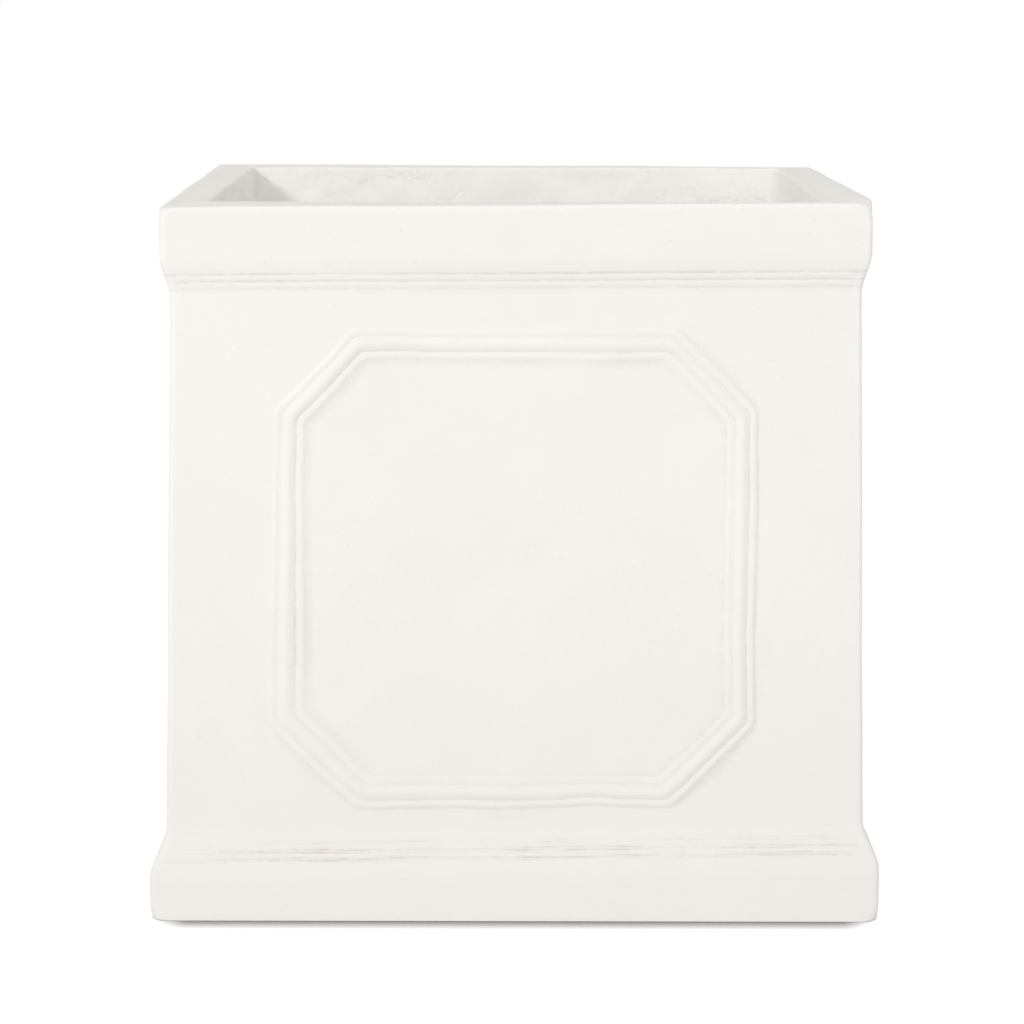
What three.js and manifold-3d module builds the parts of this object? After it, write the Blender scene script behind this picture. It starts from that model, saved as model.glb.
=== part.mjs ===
// A square cast planter with a moulded rim, a moulded plinth and a raised eight-sided
// moulding on each side. Millimetres, +Z up, origin at the centre of the base, front at -Y.
//
// Four alike side panels, cast face down, meet in mitre joints at the corners. The floor
// slab is let into a groove that runs round the inside of the panels, and a coved fillet
// of mortar stands in each inner corner, from the slab to well under the rim.

import * as THREE from 'three';
import { mergeVertices } from 'three/addons/utils/BufferGeometryUtils.js';
import Module from 'manifold-3d';

const wasm = await Module();
wasm.setup();

// ---------- driving dimensions ----------

const height = 598;
const plinthWidth = 610;
const plinthReach = 13;             // how far the plinth stands out from the body's foot
const bodyLean = 8;                 // how far each wall leans in, from the plinth to the rim
const rimReach = 7.5;               // how far the rim stands out from the body's top
const rimWall = 37;                 // thickness of the rim, seen from above

const cornerRadius = 5;             // soft upright corners
const rimEdgeRadius = 3;            // outer edge of the rim's top
const rimInnerEdgeRadius = 2;
const plinthEdgeRadius = 3;         // foot of the plinth

const rimFasciaHeight = 41;         // upright face of the rim, before it sweeps in
const rimSweepHeight = 34;          // the rim's sweep down to the body
const plinthFasciaHeight = 40;
const plinthSweepHeight = 40;

const beadWidth = 6.3;              // each small bead in a sweep
const beadRelief = 1.2;             // crest to groove
const beadCount = 2;
const rimBeadsBelowFascia = 14.9;   // from the fascia's foot to the first groove
const plinthBeadsAboveFascia = 12;
const beadFade = 36;                // the beads die away over this length at a corner

const octagonWidth = 401;           // outer edge of the raised moulding
const octagonHeight = 401;
const octagonCentre = 296;          // above the base
const octagonChamfer = 68;          // leg of each cut corner
const octagonCornerRadius = 16;     // outer edge; it tightens inwards
const octagonInnerRadius = 4;
const sideRollWidth = 7.3;          // the moulding is a large roll between two small ones
const sideRollHeight = 1.8;
const mainRollWidth = 11.8;
const mainRollHeight = 3.6;
const rollGroove = 0.9;             // the grooves between rolls stay this proud of the face
const mouldingRoot = 6;             // how far the moulding reaches into the panel

const slabThickness = 26;
const slabRise = 14;                // the slab's underside over the ground
const grooveDepth = 12;
const drainTopDiameter = 38;
const drainFootDiameter = 33;

const filletLeg = 24;
const filletEdge = 1.5;             // thickness of the fillet's thin edges
const filletBelowRim = 70;

const jointGap = 0.3;               // mortar joint between neighbouring pieces

// ---------- worked out from them ----------

const plinthHalf = plinthWidth / 2;
const bodyFootHalf = plinthHalf - plinthReach;
const bodyTopHalf = bodyFootHalf - bodyLean;
const rimHalf = bodyTopHalf + rimReach;
const cavityHalf = rimHalf - rimWall;
const slabTop = slabRise + slabThickness;
const grooveHalf = cavityHalf + grooveDepth;

const plinthSweepTop = plinthFasciaHeight + plinthSweepHeight;
const rimFasciaFoot = height - rimFasciaHeight;
const rimSweepFoot = rimFasciaFoot - rimSweepHeight;

const beadsHeight = beadCount * beadWidth;
const plinthBeadsFoot = plinthFasciaHeight + plinthBeadsAboveFascia;
const rimBeadsFoot = rimFasciaFoot - rimBeadsBelowFascia - beadsHeight;

// ---------- the outside profile: half width at each height ----------

// Half width of the plain body, which leans at a steady rate.
function bodyHalf(z) {
  const t = (z - plinthSweepTop) / (rimSweepFoot - plinthSweepTop);
  return THREE.MathUtils.lerp(bodyFootHalf, bodyTopHalf, t);
}

// Drop back of a rounded edge of radius r, at distance d into the rounding.
function roundOff(r, d) {
  return d > 0 ? r - Math.sqrt(Math.max(r * r - d * d, 0)) : 0;
}

// The smooth profile, as it shows at the rubbed-down corners.
function smoothHalf(z) {
  if (z < plinthSweepTop) {
    const t = THREE.MathUtils.smoothstep(z, plinthFasciaHeight, plinthSweepTop);
    const foot = roundOff(plinthEdgeRadius, plinthEdgeRadius - z);
    return THREE.MathUtils.lerp(plinthHalf, bodyHalf(plinthSweepTop), t) - foot;
  }
  if (z > rimSweepFoot) {
    const t = THREE.MathUtils.smoothstep(z, rimSweepFoot, rimFasciaFoot);
    const edge = roundOff(rimEdgeRadius, z - (height - rimEdgeRadius));
    return THREE.MathUtils.lerp(bodyHalf(rimSweepFoot), rimHalf, t) - edge;
  }
  return bodyHalf(z);
}

// How far the beads stand out from (or, in a groove, cut into) the smooth profile.
function beadOffset(z) {
  for (const foot of [plinthBeadsFoot, rimBeadsFoot]) {
    const u = (z - foot) / beadWidth;
    if (u >= 0 && u <= beadCount) return beadRelief * (Math.abs(Math.sin(Math.PI * u)) - 0.5);
  }
  return 0;
}

// Half width of the cavity, with the rounded inner edge of the rim.
function innerHalf(z) {
  return cavityHalf + roundOff(rimInnerEdgeRadius, z - (height - rimInnerEdgeRadius));
}

// Heights of a quarter round of radius r, measured from its tangent point.
function arcHeights(r, steps) {
  return Array.from({ length: steps + 1 }, (_, i) => r * Math.sin((i / steps) * Math.PI / 2));
}

function evenHeights(from, to, steps) {
  return Array.from({ length: steps + 1 }, (_, i) => from + ((to - from) * i) / steps);
}

// Heights across a run of beads: groove, shoulder, crest, shoulder, groove.
function beadHeights(foot) {
  const heights = [];
  for (let bead = 0; bead < beadCount; bead++) {
    for (const u of [0, 0.15, 0.5, 0.85]) heights.push(foot + (bead + u) * beadWidth);
  }
  heights.push(foot + beadsHeight);
  return heights;
}

// All the heights at which the panel's outline is drawn, from the ground up.
function profileHeights() {
  const edgeSteps = 3;
  const easeSteps = 3;
  const bandMargin = 0.6;          // between the last plain level and a groove
  const foot = arcHeights(plinthEdgeRadius, edgeSteps).map((d) => plinthEdgeRadius - d).reverse();
  const edge = arcHeights(rimEdgeRadius, edgeSteps).map((d) => height - rimEdgeRadius + d);
  return [
    ...foot,
    ...evenHeights(plinthFasciaHeight, plinthBeadsFoot - bandMargin, easeSteps),
    ...beadHeights(plinthBeadsFoot),
    ...evenHeights(plinthBeadsFoot + beadsHeight + bandMargin, plinthSweepTop, easeSteps),
    ...evenHeights(rimSweepFoot, rimBeadsFoot - bandMargin, easeSteps),
    ...beadHeights(rimBeadsFoot),
    ...evenHeights(rimBeadsFoot + beadsHeight + bandMargin, rimFasciaFoot, easeSteps),
    ...edge,
  ];
}

// ---------- lofts ----------

// A closed skin over rings of equal point count; each ring runs counterclockwise from above.
function loft(rings) {
  const count = rings[0].length;
  const index = [];
  for (let level = 0; level < rings.length - 1; level++) {
    for (let j = 0; j < count; j++) {
      const a = level * count + j;
      const b = level * count + ((j + 1) % count);
      index.push(a, b, b + count, a, b + count, a + count);
    }
  }
  const cap = (ring) => THREE.ShapeUtils.triangulateShape(ring.map((p) => new THREE.Vector2(p.x, p.y)), []);
  for (const [a, b, c] of cap(rings[0])) index.push(a, c, b);
  const top = (rings.length - 1) * count;
  for (const [a, b, c] of cap(rings.at(-1))) index.push(top + a, top + b, top + c);
  return new THREE.BufferGeometry().setFromPoints(rings.flat()).setIndex(index);
}

// A closed tube whose section is a closed loop: rings[k][j] is section point k at outline point j.
function loopedLoft(rings) {
  const count = rings[0].length;
  const index = [];
  rings.forEach((_, k) => {
    const next = ((k + 1) % rings.length) * count;
    for (let j = 0; j < count; j++) {
      const a = k * count + j;
      const b = k * count + ((j + 1) % count);
      const c = next + ((j + 1) % count);
      index.push(a, b, c, a, c, next + j);
    }
  });
  return new THREE.BufferGeometry().setFromPoints(rings.flat()).setIndex(index);
}

// ---------- solids ----------

function solid(geometry) {
  const bare = geometry.clone();
  bare.deleteAttribute('normal');
  bare.deleteAttribute('uv');
  const merged = mergeVertices(bare, 1e-4);
  return new wasm.Manifold(new wasm.Mesh({
    numProp: 3,
    vertProperties: new Float32Array(merged.attributes.position.array),
    triVerts: new Uint32Array(merged.index.array),
  }));
}

function geometryOf(body) {
  const mesh = body.getMesh();
  const geometry = new THREE.BufferGeometry();
  geometry.setAttribute('position', new THREE.BufferAttribute(mesh.vertProperties, 3));
  geometry.setIndex(new THREE.BufferAttribute(mesh.triVerts, 1));
  geometry.computeVertexNormals();
  return geometry;
}

// ---------- side panel ----------

// Right half of the panel's outer line at one height, from the middle out to the mitre.
function outerHalfLine(z) {
  const fadeSteps = 4;
  const arcSteps = 3;
  const half = smoothHalf(z);
  const straightEnd = half - cornerRadius;
  const line = [];
  for (let i = fadeSteps; i >= 0; i--) {
    const share = i / fadeSteps;
    const bead = beadOffset(z) * THREE.MathUtils.smoothstep(share, 0, 1);
    line.push(new THREE.Vector3(straightEnd - beadFade * share, -half - bead, z));
  }
  for (let i = 1; i <= arcSteps; i++) {
    const a = (i / arcSteps) * (Math.PI / 4);
    const x = straightEnd + cornerRadius * Math.sin(a);
    line.push(new THREE.Vector3(x, -straightEnd - cornerRadius * Math.cos(a), z));
  }
  return line;
}

// The panel's whole outline at one height, with both mitred ends set back by half a joint.
function panelRing(z) {
  const setBack = jointGap / Math.SQRT2;
  const right = outerHalfLine(z);
  right.at(-1).x -= setBack;
  const inner = innerHalf(z);
  right.push(new THREE.Vector3(inner - setBack, -inner, z));
  const left = right.map((p) => new THREE.Vector3(-p.x, p.y, p.z)).reverse();
  return [...left, ...right];
}

// An octagon inset from the moulding's outer edge, with rounded corners, in the XZ plane.
function octagonOutline(inset, wholeInset) {
  const arcSteps = 3;
  const w = octagonWidth / 2 - inset;
  const h = octagonHeight / 2 - inset;
  const leg = octagonChamfer - inset * (2 - Math.SQRT2);
  const radius = THREE.MathUtils.lerp(octagonCornerRadius, octagonInnerRadius, inset / wholeInset);
  const turn = Math.PI / 4;
  const corners = [
    [w, -h + leg], [w, h - leg], [w - leg, h], [-w + leg, h],
    [-w, h - leg], [-w, -h + leg], [-w + leg, -h], [w - leg, -h],
  ];
  const tangent = radius * Math.tan(turn / 2);
  return corners.flatMap(([x, z], i) => {
    const heading = (i + 1) * turn;            // of the side that runs up to this corner
    const from = heading - Math.PI / 2;        // where the rounding starts, seen from its centre
    const centreX = x - tangent * Math.cos(heading) - radius * Math.cos(from);
    const centreZ = z - tangent * Math.sin(heading) - radius * Math.sin(from);
    return Array.from({ length: arcSteps + 1 }, (_, k) => {
      const a = from + (k / arcSteps) * turn;
      return new THREE.Vector2(centreX + radius * Math.cos(a), centreZ + radius * Math.sin(a));
    });
  });
}

// Section of the moulding, from its outer edge inwards: [inset, how far it stands proud].
function mouldingSection() {
  const rolls = [
    { width: sideRollWidth, rise: sideRollHeight, steps: 5 },
    { width: mainRollWidth, rise: mainRollHeight, steps: 6 },
    { width: sideRollWidth, rise: sideRollHeight, steps: 5 },
  ];
  const section = [[0, -mouldingRoot], [0, 0]];
  let start = 0;
  rolls.forEach(({ width, rise, steps }, roll) => {
    for (let i = 1; i < steps; i++) {
      const round = Math.sin((i / steps) * Math.PI);
      const across = start + (width * (1 - Math.cos((i / steps) * Math.PI))) / 2;
      section.push([across, rollGroove + (rise - rollGroove) * round]);
    }
    start += width;
    section.push([start, roll < rolls.length - 1 ? rollGroove : 0]);
  });
  section.push([start, -mouldingRoot]);
  return section;
}

// The octagonal moulding, laid on the leaning face.
function moulding() {
  const section = mouldingSection();
  const wholeInset = section.at(-1)[0];
  const rings = section.map(([inset, proud]) => octagonOutline(inset, wholeInset).map((p) => {
    const z = octagonCentre + p.y;
    return new THREE.Vector3(p.x, -bodyHalf(z) - proud, z);
  }));
  return loopedLoft(rings);
}

// Cutter for the groove that takes the edge of the floor slab.
function slabGroove() {
  const reachInwards = 10;
  const depth = grooveDepth + reachInwards;
  const groove = new THREE.BoxGeometry(plinthWidth, depth, slabThickness + 2 * jointGap);
  return groove.translate(0, -grooveHalf + depth / 2, slabRise + slabThickness / 2);
}

function sidePanel() {
  const blank = solid(loft(profileHeights().map(panelRing)));
  return geometryOf(blank.add(solid(moulding())).subtract(solid(slabGroove())));
}

// ---------- floor slab ----------

function floorSlab() {
  const side = 2 * (grooveHalf - jointGap);
  const drainSegments = 32;
  const cutDepth = slabThickness * 2;
  const slope = (drainTopDiameter - drainFootDiameter) / 2 / slabThickness;
  const spread = (slope * (cutDepth - slabThickness)) / 2;
  const drain = new THREE.CylinderGeometry(
    drainTopDiameter / 2 + spread, drainFootDiameter / 2 - spread, cutDepth, drainSegments);
  const slab = solid(new THREE.BoxGeometry(side, side, slabThickness));
  return geometryOf(slab.subtract(solid(drain.rotateX(Math.PI / 2))));
}

// ---------- corner fillet ----------

// A cove: square at the back, hollow at the front, its corner at the local origin.
function cornerFillet() {
  const section = new THREE.Shape();
  section.moveTo(0, 0);
  section.lineTo(filletLeg, 0);
  section.lineTo(filletLeg, filletEdge);
  section.absarc(filletLeg, filletLeg, filletLeg - filletEdge, -Math.PI / 2, -Math.PI, true);
  section.lineTo(0, filletLeg);
  section.closePath();
  const depth = height - filletBelowRim - slabTop - jointGap;
  return new THREE.ExtrudeGeometry(section, { depth, bevelEnabled: false, curveSegments: 8 });
}

// ---------- assembly ----------

function castMaterial(color) {
  return new THREE.MeshStandardMaterial({ color, roughness: 0.85, metalness: 0 });
}

function named(name, geometry, material) {
  const mesh = new THREE.Mesh(geometry, material);
  mesh.name = name;
  return mesh;
}

const planter = new THREE.Group();

// The panels and fillets go round the planter in quarter turns, from the front.
const panelNames = ['front_panel', 'right_panel', 'back_panel', 'left_panel'];
const filletNames = ['front_left_fillet', 'front_right_fillet', 'back_right_fillet', 'back_left_fillet'];

const panelGeometry = sidePanel();
const filletGeometry = cornerFillet();
const filletPlace = -cavityHalf + jointGap;

for (let quarter = 0; quarter < 4; quarter++) {
  const side = new THREE.Group();
  side.rotation.z = (quarter * Math.PI) / 2;
  side.add(named(panelNames[quarter], panelGeometry, castMaterial(0xf2efea)));
  const fillet = named(filletNames[quarter], filletGeometry, castMaterial(0xe6e1d8));
  fillet.position.set(filletPlace, filletPlace, slabTop + jointGap);
  side.add(fillet);
  planter.add(side);
}

const slab = named('floor_slab', floorSlab(), castMaterial(0xe9e5de));
slab.position.z = slabRise + slabThickness / 2;
planter.add(slab);

export default planter;
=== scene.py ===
# %% [markdown]
# # A cast square planter
#
# The planter is an off-white cast box: four side panels that meet in mitre joints, a floor
# slab let into a groove, and a mortar fillet in each inner corner. The fixed frame gives the
# pieces at their real size. This script gives each one its cast surface: the soft edges, the
# beads that were rubbed away at the corners, the hand-run octagon and the trowelled inside.

# %% Load the fixed frame
import math

import bmesh
import bpy
from mathutils import Matrix, Vector, noise


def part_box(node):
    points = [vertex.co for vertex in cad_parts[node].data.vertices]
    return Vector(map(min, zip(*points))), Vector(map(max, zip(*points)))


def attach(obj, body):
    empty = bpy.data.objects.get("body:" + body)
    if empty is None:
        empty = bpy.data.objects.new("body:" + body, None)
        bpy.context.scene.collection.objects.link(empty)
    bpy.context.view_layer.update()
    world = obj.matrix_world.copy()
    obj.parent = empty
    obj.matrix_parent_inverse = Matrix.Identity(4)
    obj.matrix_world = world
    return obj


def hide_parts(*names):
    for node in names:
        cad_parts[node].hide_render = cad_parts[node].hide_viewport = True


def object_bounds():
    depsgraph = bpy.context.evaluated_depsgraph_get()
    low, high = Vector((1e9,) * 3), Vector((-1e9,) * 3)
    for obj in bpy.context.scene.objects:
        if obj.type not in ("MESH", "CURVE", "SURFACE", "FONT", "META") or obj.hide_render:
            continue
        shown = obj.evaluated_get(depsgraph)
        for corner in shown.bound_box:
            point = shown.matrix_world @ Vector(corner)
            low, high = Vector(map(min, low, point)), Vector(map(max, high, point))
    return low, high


noise.seed_set(1)              # left alone, the clock would choose the pattern
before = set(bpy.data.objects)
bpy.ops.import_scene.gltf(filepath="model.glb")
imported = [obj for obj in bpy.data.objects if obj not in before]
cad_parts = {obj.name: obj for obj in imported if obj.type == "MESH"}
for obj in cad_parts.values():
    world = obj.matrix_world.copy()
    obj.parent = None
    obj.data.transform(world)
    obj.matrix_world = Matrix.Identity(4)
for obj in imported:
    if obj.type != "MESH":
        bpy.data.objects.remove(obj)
cad_low, cad_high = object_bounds()
print("CAD box, m:", tuple(round(v, 4) for v in (*cad_low, *cad_high)))

# %% [markdown]
# ## The camera
#
# The photograph looks at the front from a little above and from 3 m away, through a long
# lens. The camera's place, turn and lens were found by matching the outline's corners, so
# they are simply stated here. The turn is built from three angles: across, down and a hair
# of tilt.

# %% Camera
MM = 0.001
camera_place = Vector((-4.8, -3071.9, 782.7)) * MM
camera_across = math.radians(0.042)
camera_down = math.radians(8.945)
camera_tilt = math.radians(0.124)
camera_lens = 119.9          # on a sensor 36 mm wide

camera = bpy.data.objects.new("camera", bpy.data.cameras.new("camera"))
bpy.context.scene.collection.objects.link(camera)
bpy.context.scene.camera = camera
camera.data.sensor_width = 36.0
camera.data.lens = camera_lens
camera.data.clip_end = 60.0
upright = Matrix.Rotation(math.radians(90), 4, "X")
camera.matrix_world = (
    Matrix.Translation(camera_place)
    @ Matrix.Rotation(-camera_across, 4, "Z")
    @ Matrix.Rotation(-camera_down, 4, "X")
    @ upright
    @ Matrix.Rotation(camera_tilt, 4, "Z")
)
looks_along = camera.matrix_world.to_3x3() @ Vector((0, 0, -1))
print("camera looks along", tuple(round(v, 4) for v in looks_along))

# %% [markdown]
# ## The stage
#
# The backdrop is pure white, but the object must not be lit more for that. So the world
# shows white to the camera only, and lights the object at a plain level. The floor is a pale
# matt plane that adds a little light of its own to what the camera sees, which lifts it to
# white. That would also wash out the narrow shadow at the plinth's foot, so an ambient
# occlusion node, which measures how much of the sky a point sees nearby, dims the floor in
# the last few centimetres before the front.

# %% Small helpers for shader nodes
def node(tree, kind, **inputs):
    """Adds a node and sets the named inputs to values or to other nodes' outputs."""
    made = tree.nodes.new(kind)
    for name, value in inputs.items():
        socket = made.inputs[name.replace("_", " ")]
        if isinstance(value, bpy.types.NodeSocket):
            tree.links.new(value, socket)
        else:
            socket.default_value = value
    return made


def new_material(name):
    """A material with an empty node tree and its output node."""
    material = bpy.data.materials.new(name)
    material.use_nodes = True
    tree = material.node_tree
    tree.nodes.clear()
    return material, tree, tree.nodes.new("ShaderNodeOutputMaterial")


def calculate(tree, operation, first, second):
    """The result of a Math node on two values or sockets."""
    made = tree.nodes.new("ShaderNodeMath")
    made.operation = operation
    for socket, value in zip(made.inputs, (first, second)):
        if isinstance(value, bpy.types.NodeSocket):
            tree.links.new(value, socket)
        else:
            socket.default_value = value
    return made.outputs[0]


def times(tree, first, second):
    """The product of two values or sockets."""
    return calculate(tree, "MULTIPLY", first, second)


map_range_ends = ("From Min", "From Max", "To Min", "To Max")


def seen_directly(tree):
    """1 where the ray comes from the camera or a mirror-like bounce, else 0."""
    path = tree.nodes.new("ShaderNodeLightPath").outputs
    mirrored = calculate(tree, "MAXIMUM", path["Is Glossy Ray"], path["Is Transmission Ray"])
    return calculate(tree, "MAXIMUM", path["Is Camera Ray"], mirrored)


# %% World
ambient_light = 0.78

world = bpy.data.worlds.new("studio")
bpy.context.scene.world = world
world.use_nodes = True
tree = world.node_tree
tree.nodes.clear()
lit = node(tree, "ShaderNodeBackground", Color=(1, 1, 1, 1), Strength=ambient_light)
seen = node(tree, "ShaderNodeBackground", Color=(1, 1, 1, 1), Strength=1.0)
mix = node(tree, "ShaderNodeMixShader", Fac=seen_directly(tree))
tree.links.new(lit.outputs[0], mix.inputs[1])
tree.links.new(seen.outputs[0], mix.inputs[2])
tree.links.new(mix.outputs[0], node(tree, "ShaderNodeOutputWorld").inputs[0])

print("world lights with", ambient_light)

# %% The narrow shadow at the plinth's foot
contact_reach = 0.034          # m in front of the plinth
contact_depth = 2.2            # how fast it darkens
contact_end = 0.03             # m over which it fades towards the corners
contact_back = 0.012           # m that it reaches under the plinth
contact_samples = 12

floor_paint, tree, output = new_material("pale_floor")
open_sky = node(tree, "ShaderNodeAmbientOcclusion", Distance=contact_reach)
open_sky.samples = contact_samples
floor_place = node(tree, "ShaderNodeSeparateXYZ",
                   Vector=tree.nodes.new("ShaderNodeTexCoord").outputs["Object"])
in_front = calculate(tree, "LESS_THAN", floor_place.outputs["Y"], cad_low.y + contact_back)
at_end = node(tree, "ShaderNodeMapRange",
              Value=calculate(tree, "ABSOLUTE", floor_place.outputs["X"], 0.0))
for name, value in zip(map_range_ends, (cad_high.x - contact_end, cad_high.x, 1.0, 0.0)):
    at_end.inputs[name].default_value = value
shaded = times(tree, in_front, at_end.outputs["Result"])
hidden = calculate(tree, "SUBTRACT", 1.0, open_sky.outputs["AO"])
seen = seen_directly(tree)
dimmed = times(tree, times(tree, hidden, shaded), seen)
kept = calculate(tree, "POWER", calculate(tree, "SUBTRACT", 1.0, dimmed), contact_depth)
print("contact shadow reaches", contact_reach, "m")

# %% Floor
floor_half = 5.0
floor_paleness = 0.86
floor_own_light = 0.50

paint = node(tree, "ShaderNodeBsdfDiffuse", Color=times(tree, kept, floor_paleness))
glow_strength = times(tree, seen, floor_own_light)
glow = node(tree, "ShaderNodeEmission", Color=(1, 1, 1, 1),
            Strength=times(tree, glow_strength, kept))
both = tree.nodes.new("ShaderNodeAddShader")
tree.links.new(paint.outputs[0], both.inputs[0])
tree.links.new(glow.outputs[0], both.inputs[1])
tree.links.new(both.outputs[0], output.inputs["Surface"])

bm = bmesh.new()
bmesh.ops.create_grid(bm, x_segments=1, y_segments=1, size=floor_half)
floor_mesh = bpy.data.meshes.new("floor")
bm.to_mesh(floor_mesh)
bm.free()
floor = bpy.data.objects.new("floor", floor_mesh)
bpy.context.scene.collection.objects.link(floor)
floor_mesh.materials.append(floor_paint)
bpy.context.scene.view_settings.view_transform = "Standard"
print("floor", 2 * floor_half, "m square")

# %% [markdown]
# ## The lights
#
# The photograph's key light stands far off to the left, in front and not high: the left wall
# throws a clear slanting shadow on the inside of the back wall. A much weaker light on the
# right throws a faint one. Most of the light is the even light of the world.

# %% Lights
aimed_at = Vector((0, 0, 0.35))    # the middle of the planter


def soft_box(name, place, size, power):
    """A square lamp at place, in metres, turned towards the middle of the planter."""
    data = bpy.data.lights.new(name, "AREA")
    data.shape = "SQUARE"
    data.size = size
    data.energy = power
    lamp = bpy.data.objects.new(name, data)
    lamp.location = place
    aim = aimed_at - lamp.location
    lamp.rotation_mode = "QUATERNION"
    lamp.rotation_quaternion = aim.to_track_quat("-Z", "Y")
    bpy.context.scene.collection.objects.link(lamp)
    print("light", name, "at", tuple(place), "power", power)
    return lamp


soft_box("key_left", (-4.5, -9.0, 3.85), 1.2, 286.0)
soft_box("fill_right", (3.6, -9.0, 3.6), 1.6, 36.0)

# %% [markdown]
# ## Sizes
#
# What the frame can tell is read from it: the plinth, the height, the cavity and the slab.
# The rest of the profile is stated in millimetres, as a maker would note it.

# %% Sizes
plinth_half = cad_high.x / MM
height = cad_high.z / MM
cavity_half = -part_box("front_panel")[1].y / MM
slab_low, slab_high = (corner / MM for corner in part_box("floor_slab"))
joint_gap = 0.3

rim_half = 291.5
body_top_half = 284.0
body_foot_half = 292.0
corner_radius = 5.0
inner_corner_radius = 8.0
fillet_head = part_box("front_left_fillet")[1].z / MM
rim_edge_radius = 2.8
rim_inner_radius = 1.5
foot_radius = 1.2

plinth_fascia_top = 40.0
plinth_sweep_top = 80.0
rim_fascia_foot = height - 41.0
rim_sweep_foot = rim_fascia_foot - 34.0
rim_slope, rim_back_slope = 0.0078, -0.0028     # the mould's lines lie a little askew
plinth_slope = 0.013

bead_width = 6.3
bead_relief = 1.2
bead_count = 2
plinth_beads_foot = plinth_fascia_top + 14.5
rim_beads_foot = rim_fascia_foot - 14.9 - bead_count * bead_width
bead_fade = 26.0

octagon_side = 401.0
octagon_centre = 296.0
octagon_across = 0.0
octagon_legs = (70.0, 69.0, 67.0, 66.5)    # of the cut corners, from the lower left round
octagon_softness = 4.6
outer_roll = (7.3, 1.8)                    # width and height
main_roll = (11.8, 3.5)
inner_roll = (7.3, 1.3)
roll_groove = 0.9
print("cavity", round(2 * cavity_half, 1), "mm wide")

# %% [markdown]
# ## The section of a side panel
#
# Each panel is one cross-section run along the side. The section is drawn as a closed wire
# with a vertex only where the profile changes: at the foot, the fascia, the ends of the
# sweeps and beads, the rim, and the groove that takes the floor slab. Bevelling single
# vertices of the wire rounds the edges, and subdividing its edges gives it enough points to
# bend into sweeps and beads later. Drawing the section first is how such a mould is made.

# %% Heights where the profile changes
bead_band = bead_count * bead_width
hole_foot, hole_head = 87.0, 506.0
hole_steps = 116               # both along and up the side
stretches = (                  # height at the top of a stretch, and its point spacing
    (plinth_fascia_top, 3.6),
    (plinth_beads_foot, 1.6),
    (plinth_beads_foot + bead_band, 0.7),
    (plinth_sweep_top, 1.8),
    (hole_foot, 2.5),
    (hole_head, (hole_head - hole_foot) / hole_steps),
    (rim_sweep_foot, 3.4),
    (rim_beads_foot, 1.6),
    (rim_beads_foot + bead_band, 0.7),
    (rim_fascia_foot, 1.8),
    (height, 3.4),
)


def smoothstep(value, low, high):
    share = min(max((value - low) / (high - low), 0.0), 1.0)
    return share * share * (3 - 2 * share)


def body_half(z):
    """Half width of the leaning body at a height."""
    share = (z - plinth_sweep_top) / (rim_sweep_foot - plinth_sweep_top)
    return body_foot_half + share * (body_top_half - body_foot_half)


def outside_half(z):
    """Half width of the planter at a height, without beads and rounded edges."""
    if z < plinth_sweep_top:
        share = smoothstep(z, plinth_fascia_top, plinth_sweep_top)
        return plinth_half + share * (body_foot_half - plinth_half)
    share = smoothstep(z, rim_sweep_foot, rim_fascia_foot)
    return min(body_half(z), body_foot_half) * (1 - share) + rim_half * share


print("half width at foot, waist and rim:", plinth_half, outside_half(300), outside_half(580))


# %% Draw the section's wire
groove_half = slab_high.x + joint_gap
groove_foot, groove_head = slab_low.z - joint_gap, slab_high.z + joint_gap


def add_wire(bm, points):
    """Joins the points, each (half width, height), into a closed wire at x = 0."""
    corners = [bm.verts.new((0, -half, z)) for half, z in points]
    for first, second in zip(corners, corners[1:] + corners[:1]):
        bm.edges.new((first, second))
    return corners


def round_corner(bm, half, z, radius, segments):
    """Rounds the wire's corner at (half width, height)."""
    corner = min(bm.verts, key=lambda v: (v.co - Vector((0, -half, z))).length)
    bmesh.ops.bevel(bm, geom=[corner], offset=radius, offset_type="OFFSET",
                    segments=segments, profile=0.5, affect="VERTICES", material=-1)


panel = bmesh.new()
outer_line = [(outside_half(z), z) for z in (0.0, *(top for top, _ in stretches))]
inner_line = [(cavity_half, height), (cavity_half, rim_sweep_foot), (cavity_half, groove_head),
              (groove_half, groove_head), (groove_half, groove_foot),
              (cavity_half, groove_foot), (cavity_half, 0.0)]
add_wire(panel, outer_line + inner_line)
round_corner(panel, plinth_half, 0.0, foot_radius, 5)
round_corner(panel, rim_half, height, rim_edge_radius, 6)
round_corner(panel, cavity_half, height, rim_inner_radius, 4)
print("drawn and rounded:", len(panel.verts), "points")


# %% Subdivide the wire
def point_spacing(middle):
    """The spacing wanted round a point of the wire."""
    if middle.z < 1.0:
        return 10.0
    if -middle.y < cavity_half + 1.0:
        return 3.0 if middle.z > rim_sweep_foot else 8.0
    if -middle.y < groove_half + 1.0 and middle.z < groove_head + 1.0:
        return 12.0
    if middle.z > height - 0.5:
        return 2.6
    return next(spacing for top, spacing in stretches if middle.z < top)


for edge in panel.edges[:]:
    spacing = point_spacing((edge.verts[0].co + edge.verts[1].co) / 2)
    cuts = round(edge.calc_length() / spacing) - 1
    if cuts > 0:
        bmesh.ops.subdivide_edges(panel, edges=[edge], cuts=cuts)
print("subdivided:", len(panel.verts), "points")

# %% [markdown]
# ## Running the section along the side
#
# A spin without any turn repeats an extrusion in even steps, which gives a panel with square
# ends and a grid of faces all over. The faces where the octagon goes are then taken out: an
# ornament needs its own flow of faces, much finer across its rolls than a grid can be.

# %% Extrude the section along the side
side_steps = 160
step_length = 2 * plinth_half / side_steps
hole_half = hole_steps * step_length / 2

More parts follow.
